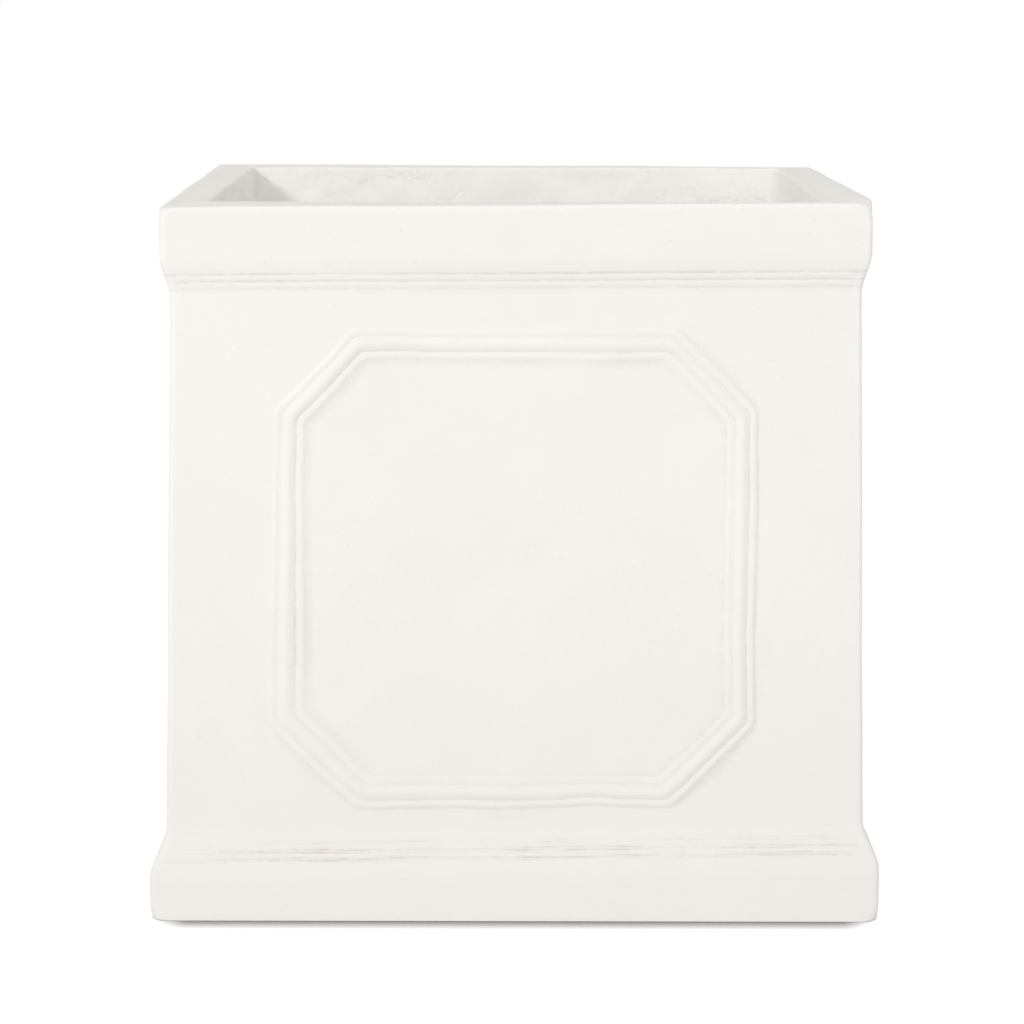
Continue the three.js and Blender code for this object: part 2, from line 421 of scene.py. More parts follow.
bmesh.ops.translate(panel, verts=panel.verts, vec=(-plinth_half, 0, 0))
bmesh.ops.spin(panel, geom=panel.verts[:] + panel.edges[:], cent=(0, 0, 0), axis=(1, 0, 0),
               dvec=(step_length, 0, 0), angle=0, steps=side_steps, use_merge=False)
end_strip = [edge for edge in panel.edges
             if abs(edge.verts[0].co.x - edge.verts[1].co.x) > 1.0
             and abs(edge.verts[0].co.x + edge.verts[1].co.x) > 2 * (plinth_half - 2 * step_length)]
bmesh.ops.subdivide_edges(panel, edges=end_strip, cuts=3, use_grid_fill=True)
print("panel of", len(panel.faces), "faces")

# %% Take out the faces where the octagon goes
in_hole = []
for face in panel.faces:
    middle = face.calc_center_median()
    on_body = -middle.y > cavity_half + 20.0 and hole_foot < middle.z < hole_head
    if on_body and abs(middle.x) < hole_half:
        in_hole.append(face)
bmesh.ops.delete(panel, geom=in_hole, context="FACES")
hole_rim = [edge for edge in panel.edges
            if edge.is_boundary and abs(edge.verts[0].co.x) < hole_half + 1.0]
print("hole of", len(in_hole), "faces, rim of", len(hole_rim), "edges")

# %% [markdown]
# ## Sweeps, beads and the mitre
#
# Now the grid is bent. Between the fascias and the body the points follow an S-shaped sweep.
# On each sweep two small beads stand, but only in the middle of the side: on the real
# planter they were rubbed down towards the corners, where the joints between the panels were
# filled. Last, each point's place along the side shrinks with its own distance from the
# planter's middle, which turns the square ends into mitres, and follows a small arc at the
# upright corner.

# %% Lines that wander
seed_step = 17.3               # keeps the patterns of two seeds apart
filled_from, filled_to = 165.0, 250.0      # across, where the joint's filler sets in


def waver(x, z, spacing, seed):
    """A smooth random value on the side, roughly from -1 to 1."""
    return noise.noise(Vector((x / spacing, z / spacing, seed * seed_step))) * 1.6


def muddle(x):
    """How far the lines were disturbed near the corners, where the joints were filled."""
    return smoothstep(abs(x), filled_from, filled_to) * (0.6 + 0.4 * waver(x, 0, 45.0, 7))


def line_place(x, z, foot):
    """Place of a point across the beads, in beads, following their wandering lines."""
    wander = 0.35 * waver(x, z, 75.0, 1) + 1.0 * muddle(x) * waver(x, z, 8.5, 2)
    return (z + wander - foot) / bead_width


print("near a corner a line wanders by", round(line_place(200.0, 60.0, 60.0) * bead_width, 2), "mm")


# %% Beads that fade
plinth_bead_share = 0.7        # the plinth's beads are rubbed flatter


def bead_wave(place):
    """Relief of the beads, from -0.5 in a groove to +0.5 on a bead."""
    if not 0.0 <= place <= bead_count:
        return 0.0
    end = smoothstep(min(place, bead_count - place), 0.0, 0.12)
    return (abs(math.sin(math.pi * place)) ** 0.8 - 0.5) * end


def bead_strength(x, seed):
    """How much of the beads is left at a place along the side."""
    from_corner = plinth_half - abs(x) + 4.0 * waver(x, 0, 14.0, seed)
    fullness = 0.88 + 0.2 * waver(x, 0, 60.0, seed + 1)
    return smoothstep(from_corner, corner_radius + 1.0, bead_fade) * fullness


def bead_relief_at(x, z):
    """How far the beads stand out at a point of the outside."""
    relief = 0.0
    bands = (
        (rim_beads_foot, bead_relief, 1),
        (plinth_beads_foot, bead_relief * plinth_bead_share, 5),
    )
    for foot, depth, seed in bands:
        if foot - 3.0 < z < foot + bead_band + 3.0:
            relief += depth * bead_strength(x, seed) * bead_wave(line_place(x, z, foot))
    return relief


print("relief in the middle of the rim's upper bead, mm:",
      round(bead_relief_at(0.0, rim_beads_foot + 1.5 * bead_width), 2))


# %% Bend the grid
def is_outside(point):
    """True on the outer face of a panel, without its foot and its top."""
    return -point.y > cavity_half + 20.0 and 0.5 < point.z < height - 0.5


for vert in panel.verts:
    if not is_outside(vert.co):
        continue
    in_sweep = (plinth_fascia_top < vert.co.z < plinth_sweep_top
                or rim_sweep_foot < vert.co.z < rim_fascia_foot)
    if in_sweep:
        vert.co.y = -outside_half(vert.co.z)
    vert.co.y -= bead_relief_at(vert.co.x, vert.co.z)
print("grid bent")


# %% Mitre the ends
def mitre(point):
    """Brings a point of the square-ended panel to its place on the mitred one."""
    half = -point.y
    softness = smoothstep(half, cavity_half + 4.0, cavity_half + 26.0)
    softness *= point.z > groove_head or half > groove_half
    hollow = smoothstep(half, cavity_half + 10.0, cavity_half + 1.0)
    hollow *= smoothstep(point.z, fillet_head + 2.0, fillet_head + 22.0)
    radius = max(corner_radius * softness, inner_corner_radius * hollow)
    straight = half - radius
    along = abs(point.x) / plinth_half * (straight + radius * math.pi / 4)
    if along > straight and radius > 0.01:
        turn = (along - straight) / radius
        along = straight + radius * math.sin(turn)
        half = straight + radius * math.cos(turn)
    return Vector((math.copysign(along, point.x), -half, point.z))


for vert in panel.verts:
    vert.co = mitre(vert.co)
print("side runs from", *(round(f(v.co.x for v in panel.verts), 1) for f in (min, max)))

# %% [markdown]
# ## The octagon
#
# The raised octagon is a large roll between two small ones. It starts as one square whose
# corners are cut by a vertex bevel. Insets of a given thickness and depth then carry the
# face over one roll after the other. That leaves sharp mitre lines at the eight corners, as
# on a planed moulding, so these lines are bevelled, which gives every ring the same soft
# turn. Only then are the long faces subdivided.

# %% Octagon by vertex bevel
def cut_square(bm, side, legs):
    """A square face whose corners are cut; legs go round from the lower left."""
    bmesh.ops.create_grid(bm, x_segments=1, y_segments=1, size=side / 2)
    for (x, y), leg in zip(((-1, -1), (1, -1), (1, 1), (-1, 1)), legs):
        corner = min(bm.verts, key=lambda v: (v.co - Vector((x, y, 0)) * side / 2).length)
        bmesh.ops.bevel(bm, geom=[corner], offset=leg, offset_type="OFFSET", segments=1,
                        profile=0.5, affect="VERTICES", material=-1)
    return bm.faces[:][0]


def roll_steps(width, rise, count, foot_rise=0.0, head_rise=0.0):
    """Inset steps, each (thickness, depth), that carry a face over a rounded roll."""
    steps = []
    proud = foot_rise
    for i in range(1, count + 1):
        rest = foot_rise + (head_rise - foot_rise) * i / count
        next_proud = rest + (rise - rest) * math.sin(math.pi * i / count) ** 1.1
        steps.append((width / count, next_proud - proud))
        proud = next_proud
    return steps


ornament = bmesh.new()
field = cut_square(ornament, octagon_side, octagon_legs)
moulding_steps = (
    roll_steps(*outer_roll, 10, 0.0, roll_groove)
    + roll_steps(*main_roll, 16, roll_groove, roll_groove)
    + roll_steps(*inner_roll, 10, roll_groove, 0.0)
)
for thickness, depth in moulding_steps:
    bmesh.ops.inset_region(ornament, faces=[field], thickness=thickness, depth=depth,
                           use_even_offset=True, use_boundary=True)
moulding_width = sum(thickness for thickness, _ in moulding_steps)
print("moulding", round(moulding_width, 1), "mm wide in", len(moulding_steps), "insets")

# %% Soften the eight mitre lines
turn_segments = 6
bmesh.ops.delete(ornament, geom=[field], context="FACES_ONLY")


def runs_along_a_side(edge):
    """True where an edge is parallel to one of the octagon's sides."""
    run = edge.verts[1].co - edge.verts[0].co
    eighths = math.atan2(run.y, run.x) / math.radians(45)
    return abs(eighths - round(eighths)) < 0.25


mitre_lines = [edge for edge in ornament.edges if not runs_along_a_side(edge)]
bmesh.ops.bevel(ornament, geom=mitre_lines, offset=octagon_softness, offset_type="OFFSET",
                segments=turn_segments, profile=0.5, affect="EDGES", material=-1, loop_slide=True)
long_edges = [edge for edge in ornament.edges if edge.calc_length() > 150]
short_edges = [edge for edge in ornament.edges if 30 < edge.calc_length() <= 150]
short_cuts = 25
long_cuts = hole_steps - turn_segments * 2 - (short_cuts + 1) - 1
bmesh.ops.subdivide_edges(ornament, edges=long_edges, cuts=long_cuts, use_grid_fill=True)
bmesh.ops.subdivide_edges(ornament, edges=short_edges, cuts=short_cuts, use_grid_fill=True)
print("octagon moulding of", len(ornament.faces), "faces")

# %% Close the field inside it
ring_count = 22


def inner_boundary(bm):
    """The open edges on the inside of the moulding."""
    open_edges = [edge for edge in bm.edges if edge.is_boundary]
    reach = octagon_side / 2 - moulding_width / 2
    cut_reach = octagon_side - sum(octagon_legs) / 4 - moulding_width / 2 * math.sqrt(2)
    return [edge for edge in open_edges
            if all(max(abs(v.co.x), abs(v.co.y)) < reach and abs(v.co.x) + abs(v.co.y) < cut_reach
                   for v in edge.verts)]


ring = inner_boundary(ornament)
for left in range(ring_count, 1, -1):
    made = bmesh.ops.extrude_edge_only(ornament, edges=ring)["geom"]
    ring = [part for part in made if isinstance(part, bmesh.types.BMEdge)]
    shrink = (left - 1) / left
    bmesh.ops.scale(ornament, vec=(shrink, shrink, 1),
                    verts=[part for part in made if isinstance(part, bmesh.types.BMVert)])
made = bmesh.ops.extrude_edge_only(ornament, edges=ring)["geom"]
bmesh.ops.pointmerge(ornament, merge_co=(0, 0, 0),
                     verts=[part for part in made if isinstance(part, bmesh.types.BMVert)])
print("field closed:", len(ornament.faces), "faces")

# %% [markdown]
# ## Setting the octagon into the panel
#
# The octagon is turned upright, laid against the leaning face and bridged to the rim of the
# hole. Both loops have the same number of points, so the bridge is made of clean quads; it
# is then subdivided, because the face between has to carry its small unevenness too.

# %% Lay the octagon on the face
bmesh.ops.rotate(ornament, verts=ornament.verts, cent=(0, 0, 0),
                 matrix=Matrix.Rotation(math.radians(90), 3, "X"))
bmesh.ops.translate(ornament, verts=ornament.verts, vec=(octagon_across, 0, octagon_centre))
for vert in ornament.verts:
    vert.co.y -= body_half(vert.co.z)
carrier = bpy.data.meshes.new("ornament")
ornament.to_mesh(carrier)
ornament.free()
panel.from_mesh(carrier)
bpy.data.meshes.remove(carrier)
print("panel and octagon together have", len(panel.faces), "faces")


# %% Bridge it to the hole
def on_field(vert):
    """True for a point of the front well inside the fascias and the ends."""
    return abs(vert.co.x) < 240 and 80 < vert.co.z < 510


open_edges = [edge for edge in panel.edges if edge.is_boundary and on_field(edge.verts[0])]
bridge = bmesh.ops.bridge_loops(panel, edges=open_edges)
rims = set(open_edges)
across_bridge = [edge for edge in bridge["edges"] if edge not in rims]
bmesh.ops.subdivide_edges(panel, edges=across_bridge, cuts=5, use_grid_fill=True)
print("bridged", len(open_edges), "edges")

# %% Close the mitred ends
open_edges = [edge for edge in panel.edges if edge.is_boundary]
bmesh.ops.holes_fill(panel, edges=open_edges, sides=0)
bmesh.ops.recalc_face_normals(panel, faces=panel.faces)
print("panel of", len(panel.faces), "faces, open edges:", sum(e.is_boundary for e in panel.edges),
      "volume, l:", round(panel.calc_volume() / 1e6, 2))

# %% [markdown]
# ## Marks for the finish
#
# A finish that follows the shape has to know where the hollows, the rubbed edges and the
# trowelled inside are. Ambient occlusion could find them, but it is noisy and slow. The
# profile is known here, so each point simply gets its marks, stored as attributes. The
# material reads six of them: wash_and_painted_shade for the wash in the hollows and the
# painted shade in the octagon's creases and the lines of the beads, scratched for the plinth's
# beads, cracked for the filler at the rim's corners, wear_and_highlight for rubbed edges and a
# painted highlight on the octagon's upper left, inside for the trowelled walls, which are also
# painted lighter to stand in for light, and top_shade for painted shade on the rim's top. The
# seventh, moulded, is read by the casting further down and says where the octagon was run by
# hand.

# %% Distances from the drawn lines
def near(distance, width):
    """1 at no distance, falling softly to 0 at some widths away."""
    return math.exp(-(distance / width) ** 2)


def octagon_depth(x, z):
    """How far inside the octagon's outline a point of the front lies."""
    right, up = x - octagon_across, z - octagon_centre
    corner = (0 if right < 0 else 1) if up < 0 else (3 if right < 0 else 2)
    half = octagon_side / 2
    cut = (octagon_side - octagon_legs[corner] - abs(right) - abs(up)) / math.sqrt(2)
    return min(half - abs(right), half - abs(up), cut)


def line_mark(x, z, foot, darkness, width, seed):
    """Darkness of the lines between beads; darkness lists them from the lowest up."""
    place = line_place(x, z, foot)
    line = min(max(round(place), 0), bead_count)
    patch = 1 + 0.35 * waver(x, line * 50, 80.0, seed)
    distance = (place - line) * bead_width
    return darkness[line] * patch * near(distance, width) * bead_strength(x, seed)


print("middle of the front lies", round(octagon_depth(0.0, octagon_centre), 1), "mm inside the octagon")

# %% Where the wash and the painted shade lie
octagon_crease_wash_and_shade = (    # depth inside the outline, darkness upper left and lower right, width; the darkness is wash and painted shade, heavier on the side of each roll turned from the light
    (0.0, 0.04, 0.50, 0.9),
    (outer_roll[0], 0.14, 0.80, 0.65),
    (outer_roll[0] + main_roll[0], 0.65, 0.34, 0.75),
    (moulding_width, 0.26, 0.28, 0.8),
)
gathered = (                    # where more of the wash stayed: across, height, reach, gain
    (-155.0, 455.0, 62.0, 0.9),
    (165.0, 165.0, 60.0, 0.8),
    (-190.0, 250.0, 45.0, 0.4),
)
rim_line_wash_and_shade = (0.55, 0.80, 1.0)              # darkness from the lowest line up: wash and painted shade under the rim's steps
plinth_edge_wash_and_shade = (0.45, 0.0, 0.0)
crease_margin = 4.0                        # how far outside the moulding wash can lie


def wash_and_painted_shade_at(point, seed):
    """How much wash and painted shade lie in the hollow at a point of the front, from 0 to 1."""
    if not is_outside(point):
        return 0.0
    x, z = point.x, point.z
    value = 0.0
    depth = octagon_depth(x, z)
    if -crease_margin < depth < moulding_width + crease_margin:
        gain = 0.8 + 0.5 * waver(x, z, 55.0, seed)
        gain += sum(more * near(math.hypot(x - across, z - up), reach)
                    for across, up, reach, more in gathered)
        # painted shade: the creases get darker on the sides of the rolls turned away from the light at
        # the upper left
        side_from_light = smoothstep(x - octagon_across - z + octagon_centre, -140.0, 140.0)
        value = max((upper + (lower - upper) * side_from_light) * near(depth - place, width)
                    for place, upper, lower, width in octagon_crease_wash_and_shade) * gain
    if abs(z - rim_beads_foot - bead_band / 2) < bead_band:
        value = max(value, line_mark(x, z, rim_beads_foot, rim_line_wash_and_shade, 0.75, seed + 1))
    if abs(z - plinth_beads_foot) < bead_width / 2:
        value = max(value, line_mark(x, z, plinth_beads_foot, plinth_edge_wash_and_shade, 0.8, seed + 2))
    return min(max(value, 0.0), 1.0)


# the wash in these hollows is partly painted shade
print("hollows that hold wash:", len(octagon_crease_wash_and_shade), "round the octagon,",
      sum(darkness > 0 for darkness in rim_line_wash_and_shade + plinth_edge_wash_and_shade), "at the beads")

# %% Scratches and hairlines
plinth_lines = (1.0, 0.95, 0.40)           # darkness from the lowest line up
scratch_width = 2.1


def scratched_at(point, seed):
    """Where the plinth's lines were dragged and scratched, from 0 to 1."""
    if not is_outside(point) or abs(point.z - plinth_beads_foot - bead_band / 2) > bead_band * 1.6:
        return 0.0
    broad = line_mark(point.x, point.z, plinth_beads_foot, plinth_lines, scratch_width, seed + 5)
    rough = waver(point.x, 0, 46.0, seed + 6) + 0.6 * waver(point.x, 9, 17.0, seed + 7)
    return min(max(broad * (0.60 + 0.80 * smoothstep(rough, -0.9, 0.9)), 0.0), 1.0)


def cracked_at(point, seed):
    """Where the filler near the corners left hairlines across the rim's beads, from 0 to 1."""
    if not is_outside(point):
        return 0.0
    band = near(point.z - rim_beads_foot - bead_band / 2, bead_band * 0.62)
    left_reach = smoothstep(-point.x, 150.0, 215.0)
    right_reach = smoothstep(point.x, 215.0, 262.0) * 0.7
    return band * max(left_reach, right_reach) * (0.75 + 0.5 * waver(point.x, 0, 30.0, seed))


print("scratches reach", round(bead_band * 1.6), "mm up and down from the plinth's beads")

# %% Rubbed edges, and a painted highlight on the octagon
wear_width = 3.5
highlight_width = 1.6


def wear_and_highlight_at(point):
    """How close a point is to an outer edge that gets rubbed, from 0 to 1; on the octagon's upper left
    it also gives a painted highlight.
    """
    half = -point.y
    edges = (
        (half - rim_half + 1.5, point.z - height + 1.5),
        (half - plinth_half, point.z - plinth_fascia_top),
        (half - plinth_half + 1.0, point.z - 1.0),
        (half - abs(point.x) - 2.0, 0.0),
    )
    value = max(near(math.hypot(across, up), wear_width) for across, up in edges)
    # painted highlight: the crest of the outer roll on the octagon's upper left, which faces the light,
    # is lightened
    if is_outside(point) and point.x < octagon_across and point.z > octagon_centre:
        sideways = smoothstep(abs(point.x - octagon_across + point.z - octagon_centre), 60.0, 30.0)
        painted_highlight = near(octagon_depth(point.x, point.z) - outer_roll[0] * 0.45, highlight_width)
        value = max(value, 1.6 * painted_highlight * sideways)
    return value


print("wear at the rim's edge:", round(wear_and_highlight_at(Vector((0, -rim_half, height))), 2))

# %% All marks of a panel
mark_names = ("wash_and_painted_shade", "scratched", "cracked", "wear_and_highlight", "inside", "top_shade", "moulded")


def add_marks(bm, seed):
    """Stores the marks on every point of a panel that still faces the front."""
    wash_and_painted_shade, scratched, cracked, wear_and_highlight, inside, top_shade, moulded = (
        bm.verts.layers.float.new(name) for name in mark_names)
    for vert in bm.verts:
        point = vert.co
        vert[wash_and_painted_shade] = wash_and_painted_shade_at(point, seed)
        vert[scratched] = scratched_at(point, seed)
        vert[cracked] = cracked_at(point, seed)
        vert[wear_and_highlight] = wear_and_highlight_at(point)
        on_wall = smoothstep(-point.y, cavity_half + 1.0, cavity_half + 0.2)
        below_top = smoothstep(point.z, height - 0.1, height - 1.4)
        vert[inside] = on_wall * (point.z > groove_head) * below_top
        # painted shade: the rim's top, turned up away from the low lights, is marked to be darkened
        vert[top_shade] = smoothstep(point.z, height - 1.2, height - 0.1)
        depth = octagon_depth(point.x, point.z) if is_outside(point) else -99.0
        within = smoothstep(depth, moulding_width + 40.0, moulding_width)
        vert[moulded] = smoothstep(depth, -12.0, 0.0) * within
    return moulded


print("marks:", ", ".join(mark_names))

# %% [markdown]
# ## Finishes
#
# Cast stone is a pale cement with fine sand. Each of its effects is a node group that all
# finishes can share. Sand grain is a bump of very fine noise, with a few darker grains.
# Mottling is the cloudy change of tone left by drying. The wash is the thin brown-grey dirt
# that stays in hollows and is rubbed off the edges; the same blend also lays painted shade into
# the octagon's creases and the lines of the beads. Three more draw what the hand left:
# dragged scratches over the plinth, hairlines in the filler near the corners, and the lumps
# and pits of the trowelled inside.

# %% Node group helpers
def new_group(name, takes, gives):
    """An empty shader node group; takes and gives list (socket name, socket kind)."""
    group = bpy.data.node_groups.new(name, "ShaderNodeTree")
    for socket, kind in takes:
        group.interface.new_socket(name=socket, in_out="INPUT", socket_type="NodeSocket" + kind)
    for socket, kind in gives:
        group.interface.new_socket(name=socket, in_out="OUTPUT", socket_type="NodeSocket" + kind)
    return group, group.nodes.new("NodeGroupInput").outputs, group.nodes.new("NodeGroupOutput").inputs


def place_group(tree, group, **inputs):
    """Puts a group in a material, with its inputs set or linked."""
    made = tree.nodes.new("ShaderNodeGroup")
    made.node_tree = group
    for name, value in inputs.items():
        socket = made.inputs[name.replace("_", " ")]
        if isinstance(value, bpy.types.NodeSocket):
            tree.links.new(value, socket)
        else:
            socket.default_value = value
    return made


def noise_value(tree, place, scale, detail=2.0, roughness=0.5):
    """The grey value of a Noise Texture."""
    made = node(tree, "ShaderNodeTexNoise", Vector=place, Scale=scale, Detail=detail,
                Roughness=roughness)
    return made.outputs["Factor" if "Factor" in made.outputs else "Fac"]


def ranged(tree, value, low, high, new_low=0.0, new_high=1.0):
    """Stretches low..high to new_low..new_high with soft ends."""
    made = node(tree, "ShaderNodeMapRange", Value=value)
    made.interpolation_type = "SMOOTHSTEP"
    for name, number in zip(map_range_ends, (low, high, new_low, new_high)):
        made.inputs[name].default_value = number
    return made.outputs["Result"]


def blend_colour(tree, factor, first, second):
    """A colour mix of two colours by a factor."""
    made = tree.nodes.new("ShaderNodeMix")
    made.data_type = "RGBA"
    sockets = {socket.identifier: socket for socket in made.inputs}
    for key, value in (("Factor_Float", factor), ("A_Color", first), ("B_Color", second)):
        if isinstance(value, bpy.types.NodeSocket):
            tree.links.new(value, sockets[key])
        else:
            sockets[key].default_value = value
    return next(socket for socket in made.outputs if socket.identifier == "Result_Color")


def drawn_out(tree, place, stretch):
    """A place whose patterns are drawn out sideways: 1 / stretch times as long as high."""
    made = tree.nodes.new("ShaderNodeVectorMath")
    made.operation = "MULTIPLY"
    made.inputs[1].default_value = (stretch, stretch, 1.0)
    tree.links.new(place, made.inputs[0])
    return made.outputs[0]


print("helpers for node groups ready")


# %% Sandy grain
grain_group, taken, given = new_group(
    "sandy_grain", (("Place", "Vector"), ("Size", "Float")),
    (("Height", "Float"), ("Grains", "Float")))
inner = grain_group
coarse_size = times(inner, taken["Size"], 0.4)
fine = noise_value(inner, taken["Place"], taken["Size"], 3.0, 0.65)
coarse = noise_value(inner, taken["Place"], coarse_size, 2.0, 0.6)
grain_height = calculate(inner, "ADD", times(inner, fine, 0.6), times(inner, coarse, 0.8))
inner.links.new(grain_height, given["Height"])
inner.links.new(ranged(inner, coarse, 0.66, 0.76), given["Grains"])
print(inner.name, "has", len(inner.nodes), "nodes")

# %% Clouds left by drying
mottle_group, taken, given = new_group(
    "drying_clouds",
    (("Place", "Vector"), ("Size", "Float"), ("Light", "Color"), ("Dark", "Color")),
    (("Color", "Color"),))
inner = mottle_group
small_size = times(inner, taken["Size"], 4.3)
large_clouds = noise_value(inner, taken["Place"], taken["Size"], 4.0, 0.6)
small_clouds = times(inner, noise_value(inner, taken["Place"], small_size, 3.0, 0.6), 0.5)
tone = ranged(inner, calculate(inner, "ADD", large_clouds, small_clouds), 0.5, 1.0)
inner.links.new(blend_colour(inner, tone, taken["Dark"], taken["Light"]), given["Color"])
print(inner.name, "has", len(inner.nodes), "nodes")

# %% Wash in the hollows, and painted shade in the creases
wash_group, taken, given = new_group(
    "wash_and_shade_blend",
    (("Place", "Vector"), ("Color", "Color"), ("Wash", "Color"), ("Mask", "Float"), ("Amount", "Float")),
    (("Color", "Color"),))
inner = wash_group
patchy = ranged(inner, noise_value(inner, taken["Place"], 95.0, 3.0, 0.6), 0.3, 0.62, 0.35, 1.0)
share = times(inner, times(inner, taken["Mask"], taken["Amount"]), patchy)
inner.links.new(blend_colour(inner, share, taken["Color"], taken["Wash"]), given["Color"])
print(inner.name, "has", len(inner.nodes), "nodes")

# %% Scratches dragged along the plinth
scratch_stretch = 0.016

streak_group, taken, given = new_group(
    "dragged_scratches", (("Place", "Vector"), ("Mask", "Float")), (("Mask", "Float"),))
inner = streak_group
streaked = drawn_out(inner, taken["Place"], scratch_stretch)
lines = ranged(inner, noise_value(inner, streaked, 1100.0, 3.0, 0.7), 0.45, 0.62)
flecks = ranged(inner, noise_value(inner, taken["Place"], 420.0, 2.0, 0.6), 0.55, 0.72)
scratches = calculate(inner, "MAXIMUM", lines, times(inner, flecks, 0.8))
inner.links.new(times(inner, scratches, taken["Mask"]), given["Mask"])
print(inner.name, "has", len(inner.nodes), "nodes")

# %% Hairlines
hairline_stretch = 0.28
hairline_width = 0.014         # as a share of the noise's range

hairline_group, taken, given = new_group(
    "hairline_cracks", (("Place", "Vector"), ("Mask", "Float")), (("Mask", "Float"),))
inner = hairline_group
drawn = drawn_out(inner, taken["Place"], hairline_stretch)
level = calculate(inner, "SUBTRACT", noise_value(inner, drawn, 130.0, 2.0, 0.55), 0.5)
hairs = ranged(inner, calculate(inner, "ABSOLUTE", level, 0.0), 0.0, hairline_width, 1.0, 0.0)
inner.links.new(times(inner, hairs, taken["Mask"]), given["Mask"])
print(inner.name, "has", len(inner.nodes), "nodes")

# %% Lumps and pits of the trowelled inside
trowel_group, taken, given = new_group(
    "trowel_marks", (("Place", "Vector"), ("Size", "Float")),
    (("Height", "Float"), ("Pits", "Float")))
inner = trowel_group
small_size = times(inner, taken["Size"], 4.5)
lumps = noise_value(inner, taken["Place"], taken["Size"], 4.0, 0.62)
plateaus = ranged(inner, lumps, 0.46, 0.54)
worked = ranged(inner, noise_value(inner, taken["Place"], 9.0, 1.0, 0.5), 0.42, 0.58, 0.15, 1.0)
pits = ranged(inner, noise_value(inner, taken["Place"], small_size, 1.0, 0.5), 0.75, 0.80)
raised = times(inner, calculate(inner, "ADD", plateaus, lumps), worked)
inner.links.new(calculate(inner, "SUBTRACT", raised, times(inner, pits, 1.2)), given["Height"])
inner.links.new(pits, given["Pits"])
print("node groups:", [group.name for group in bpy.data.node_groups])


# %% Reading marks and finishing a surface
def mark(tree, name):
    """The value of one of the marks."""
    made = tree.nodes.new("ShaderNodeAttribute")
    made.attribute_name = name
    return made.outputs["Fac"]


def object_place(tree):
    """The place on the object that all patterns follow."""
    return tree.nodes.new("ShaderNodeTexCoord").outputs["Object"]


def finish_surface(material_parts, colour, height_value, bump_distance, roughness, specular):
    """Puts colour and bump on a matt Principled surface."""
    _, tree, output = material_parts
    bump = node(tree, "ShaderNodeBump", Strength=1.0, Distance=bump_distance, Height=height_value)
    surface = node(tree, "ShaderNodeBsdfPrincipled", Base_Color=colour, Roughness=roughness,
                   Normal=bump.outputs["Normal"])
    surface.inputs["Specular IOR Level"].default_value = specular
    tree.links.new(surface.outputs[0], output.inputs["Surface"])


print("a surface takes the marks", mark_names[:6])

# %% Colours
cast_light = (0.895, 0.870, 0.838, 1)
cast_dark = (0.874, 0.847, 0.811, 1)
# painted light: the inner walls are the same cement made lighter, standing in for the light inside the
# planter
inside_lightened_colour = (0.985, 0.966, 0.942, 1)
wash_colour = (0.42, 0.37, 0.31, 1)
# lighter stone of rubbed edges, also used for the painted highlight on the octagon
worn_and_highlight_colour = (0.93, 0.915, 0.895, 1)
# darker stone, used for painted shade on the rim's top and for the darkening towards the foot
top_shade_and_foot_colour = (0.79, 0.76, 0.72, 1)
matt_specular = 0.25
print("bare stone", cast_light[:3], "and wash", wash_colour[:3])

# %% Cast stone of the panels
wash_amounts = {"wash_and_painted_shade": 0.34, "scratches": 0.7, "hairlines": 0.28, "pits": 0.25}
grain_size, trowel_size, cloud_size = 820.0, 42.0, 7.0
darkening_height, foot_darkening = 0.42, 0.5        # m up from the ground over which the stone gets darker, and how much darker at the ground
grain_bump = 0.00022

cast_stone, tree, output = parts = new_material("cast_stone")
place = object_place(tree)
inside = mark(tree, "inside")
grain = place_group(tree, grain_group, Place=place, Size=grain_size)
trowelled = place_group(tree, trowel_group, Place=place, Size=trowel_size)
clouded = place_group(tree, mottle_group, Place=place, Size=cloud_size, Light=cast_light,
                      Dark=cast_dark)
# painted light: the trowelled inner walls are made lighter than the outside
stone = blend_colour(tree, inside, clouded.outputs[0], inside_lightened_colour)
# lighter on rubbed edges, and a painted highlight on the octagon's upper left
stone = blend_colour(tree, times(tree, mark(tree, "wear_and_highlight"), 0.5), stone, worn_and_highlight_colour)
print("stone has its grain, clouds and wear")


# %% Wash, painted shade, darkening towards the foot and relief of the cast stone
def wash(stone, mask, kind):
    """Adds the wash of one kind where the mask says; for the hollows it is also painted shade."""
    return place_group(tree, wash_group, Place=place, Color=stone, Wash=wash_colour, Mask=mask,
                       Amount=wash_amounts[kind]).outputs[0]


scratches = place_group(tree, streak_group, Place=place, Mask=mark(tree, "scratched"))
hairlines = place_group(tree, hairline_group, Place=place, Mask=mark(tree, "cracked"))
# the hollows' wash, with painted shade in the octagon's creases and the lines of the beads
stone = wash(stone, mark(tree, "wash_and_painted_shade"), "wash_and_painted_shade")
stone = wash(stone, scratches.outputs[0], "scratches")
stone = wash(stone, hairlines.outputs[0], "hairlines")
stone = wash(stone, times(tree, trowelled.outputs["Pits"], inside), "pits")
stone = blend_colour(tree, times(tree, grain.outputs["Grains"], 0.10), stone, wash_colour)
split = node(tree, "ShaderNodeSeparateXYZ", Vector=place)
# the stone gets darker towards the foot
low_down = ranged(tree, split.outputs["Z"], 0.0, darkening_height, foot_darkening, 0.0)
# painted shade: the rim's top is darkened
painted_top_shade = times(tree, mark(tree, "top_shade"), 0.2)
stone = blend_colour(tree, calculate(tree, "MAXIMUM", low_down, painted_top_shade), stone, top_shade_and_foot_colour)
roughness = ranged(tree, grain.outputs["Height"], 0.4, 1.0, 0.82, 0.95)
trowel_relief = times(tree, times(tree, trowelled.outputs["Height"], inside), 2.0)
relief = calculate(tree, "ADD", grain.outputs["Height"], trowel_relief)
finish_surface(parts, stone, relief, grain_bump, roughness, matt_specular)
print(cast_stone.name, "has", len(tree.nodes), "nodes")

